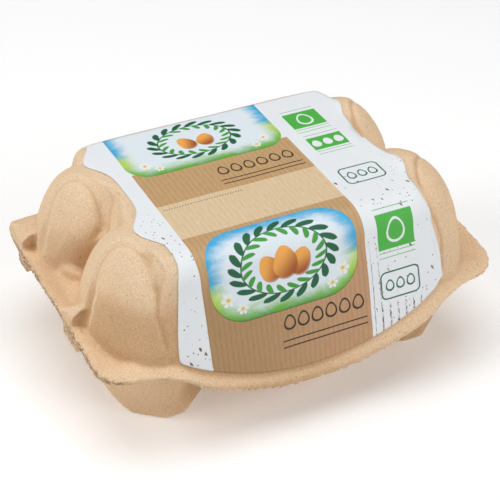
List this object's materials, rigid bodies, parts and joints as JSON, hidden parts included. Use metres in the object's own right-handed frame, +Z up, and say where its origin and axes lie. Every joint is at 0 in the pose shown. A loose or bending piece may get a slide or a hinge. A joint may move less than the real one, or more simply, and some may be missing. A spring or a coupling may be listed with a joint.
{
  "type": "egg carton",
  "caption": "Shut moulded-pulp egg carton with domed corners, a brim that dips in front, tapered cup feet and a paper label over its lid.",
  "frame": {"origin": "middle of the footprint, on the floor that the feet stand on", "axes": "+X along the carton, +Y from the opening side to the hinge, +Z up"},
  "size_m": [0.154, 0.1072, 0.071],
  "materials": {
    "pulp": "matt tan moulded pulp with a fine grain and scattered darker fibres",
    "label_paper": "smooth white printed paper with a faint gloss"
  },
  "bodies": {
    "root": {"lid": "pulp", "tray": "pulp", "label": "label_paper"}
  },
  "joints": []
}
